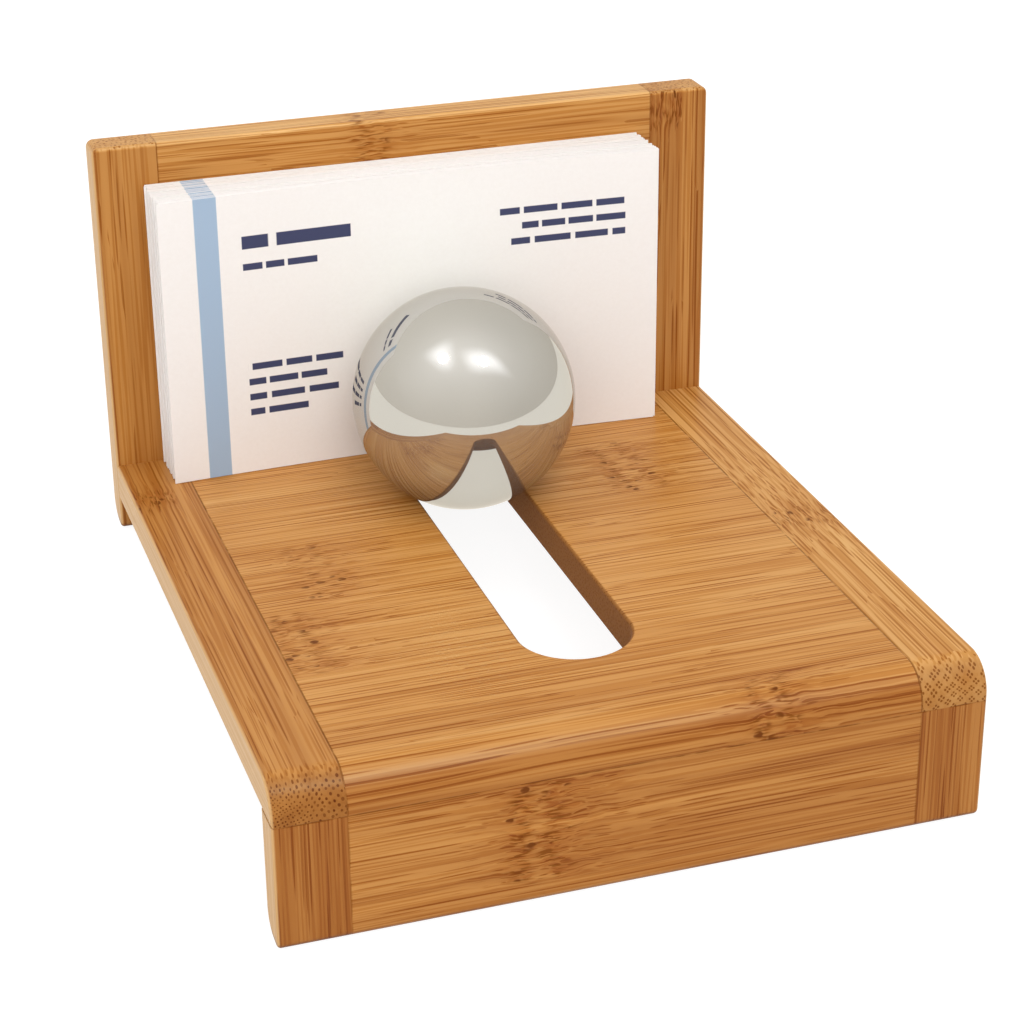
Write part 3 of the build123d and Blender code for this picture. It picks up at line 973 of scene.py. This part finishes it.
corners = np.array([(-1, -1, 0), (1, -1, 0), (1, 1, 0), (-1, 1, 0)]) * FLOOR_HALF
floor = new_piece("floor", corners, [(0, 1, 2, 3)], floor_paper())
print("floor half width in metres:", FLOOR_HALF)

# %% [markdown]
# The stand is in a tent of warm white cloth with a lamp behind each of two patches of it. Real cloth and
# lamps could be modelled, but a world that answers each kind of ray in its own way is quieter: white to the
# camera, an even fill to matt surfaces, and to shiny ones the tent with its two bright windows.

# %% Tent
FILL = (0.8, 0.8, 0.8, 1)
TENT, TENT_RIGHT, TENT_LOW = (0.898, 0.847, 0.76, 1), (0.78, 0.74, 0.665, 1), (0.94, 0.93, 0.92, 1)
RIGHT_STEP, LOW_FROM = (-0.3, 0.9), 0.55
WINDOWS = [
    # toward, half width, half height, widening and lean with height
    ((0.185, -0.4, 0.9), 0.24, 0.15, -0.2, -0.08),
    ((-0.42, -0.15, 0.89), 0.12, 0.2, 0.45, 0.0),
]
WINDOW_BRIGHT, WINDOW_SOFT, WINDOW_TINT = 0.9, 0.15, (0.98, 1.0, 1.1, 1)
GLOW_BRIGHT, GLOW_WIDE, GLOW_TALL = 0.24, 0.6, 0.5
SAME_SIDE = 0.1


def window_light(bench, way, toward, wide, tall, widen, lean):
    """A pane with soft edges and a glow about it, by the direction's offset sideways and upwards from it.

    The pane is a smooth step of both offsets, and its width and middle change with height. The glow is a
    wide bell of them.
    """
    middle = Vector(toward).normalized()
    sideways = Vector((0, 1, 0)).cross(middle).normalized()
    upwards = middle.cross(sideways)
    over = bench.arrow("DOT_PRODUCT", way, tuple(sideways))
    up = bench.arrow("DOT_PRODUCT", way, tuple(upwards))
    leant = bench.size(bench.times_plus(up, -lean / tall, over))
    half = bench.times_plus(up, wide * widen / tall, wide)
    across = bench.ease(bench.minus(leant, half), WINDOW_SOFT, -WINDOW_SOFT)
    pane = bench.times(across, bench.ease(bench.size(up), tall + WINDOW_SOFT, tall - WINDOW_SOFT))
    glow = bench.times(bench.bell(over, GLOW_WIDE), bench.bell(up, GLOW_TALL))
    bright = bench.times_plus(pane, WINDOW_BRIGHT, bench.times(glow, GLOW_BRIGHT))
    same_side = bench.ease(bench.arrow("DOT_PRODUCT", way, tuple(middle)), 0.0, SAME_SIDE)
    return bench.times(bright, same_side)


def tent_world():
    """World light by kind of ray. The tent is darker to the right and low down, by smooth steps."""
    world = scene.world = bpy.data.worlds.new("white tent")
    world.use_nodes = True
    tree = world.node_tree
    tree.nodes.clear()
    bench = Bench(tree)
    path = bench.node("LightPath").outputs
    way = bench.node("TexCoord").outputs["Generated"]
    x, _, z = bench.apart(way)
    tent = bench.tint(bench.ease(x, *RIGHT_STEP), TENT, TENT_RIGHT)
    tent = bench.tint(bench.ease(z, LOW_FROM, 0.0), tent, TENT_LOW, "MULTIPLY")
    for window in WINDOWS:
        tent = bench.tint(window_light(bench, way, *window), tent, WINDOW_TINT, "ADD")
    lit = bench.tint(shiny_rays(bench, path), FILL, tent)
    seen = bench.tint(path["Is Camera Ray"], lit, WHITE)
    sky = bench.node("Background", {"Color": seen, "Strength": 1.0})
    bench.node("OutputWorld", {"Surface": sky.outputs[0]})


tent_world()
print("windows in the tent:", len(WINDOWS))

# %% [markdown]
# Square soft lamps overhead, on the left and in front lift the faces; shiny surfaces don't see them, so they
# add no marks to the ball. Behind each window a small disc lamp does the opposite: only shiny surfaces see
# it. It gives the lacquered edges their sheen and the ball its two sparks, and lights nothing else.

# %% Lamps
LAMPS = [
    # title, toward, distance, size, power
    ("lamp overhead", (0.09, -0.21, 0.97), 0.9, 0.5, 2.2),
    ("lamp left", (-0.58, 0.07, 0.81), 0.9, 0.5, 0.8),
    ("lamp front", (-0.28, -0.8, 0.56), 1.2, 0.9, 4.4),
]
SHEEN_DISTANCE, SHEEN_SIZE, SHEEN_POWER, SHEEN_TINT = 0.9, 0.16, 4.5, (0.95, 1.05, 0.74)
LAMP_AIM = Vector((0, 0, 0.03))


def soft_lamp(title, toward, distance, size, power):
    """A square lamp at that distance from the stand, turned to look back at it."""
    data = bpy.data.lights.new(title, "AREA")
    data.shape = "SQUARE"
    data.size = size
    data.energy = power
    lamp = bpy.data.objects.new(title, data)
    scene.collection.objects.link(lamp)
    aim = Vector(toward).normalized()
    lamp.location = LAMP_AIM + aim * distance
    lamp.rotation_euler = aim.to_track_quat("Z", "Y").to_euler()
    lamp.visible_glossy = False
    return lamp


for lamp_values in LAMPS:
    soft_lamp(*lamp_values)
for number, window in enumerate(WINDOWS):
    spark = soft_lamp(f"lamp behind window {number}", window[0], SHEEN_DISTANCE, SHEEN_SIZE, SHEEN_POWER)
    spark.data.shape = "DISK"
    spark.data.color = SHEEN_TINT
    spark.visible_glossy = True
    spark.visible_diffuse = False
print("lamps:", len(LAMPS) + len(WINDOWS))

# %% [markdown]
# The camera stands in front and to the left and looks down, where the photographer's stood. A shifted lens
# would keep the uprights as parallel as in the photograph, but the shift would stay in every other view, so
# this lens has none.

# %% Camera
LENS, SENSOR = 89.9, 36.0
NEAREST = 0.01
CAMERA_PLACE = (-0.117176, -0.335269, 0.247737)
CAMERA_TURN = (57.9017, -1.73, -18.247)

lens = bpy.data.cameras.new("camera")
lens.sensor_width = SENSOR
lens.lens = LENS
lens.clip_start = NEAREST
camera = bpy.data.objects.new("camera", lens)
camera.location = CAMERA_PLACE
camera.rotation_euler = [math.radians(angle) for angle in CAMERA_TURN]
scene.collection.objects.link(camera)
scene.camera = camera
print("camera", tuple(round(value, 3) for value in camera.location))
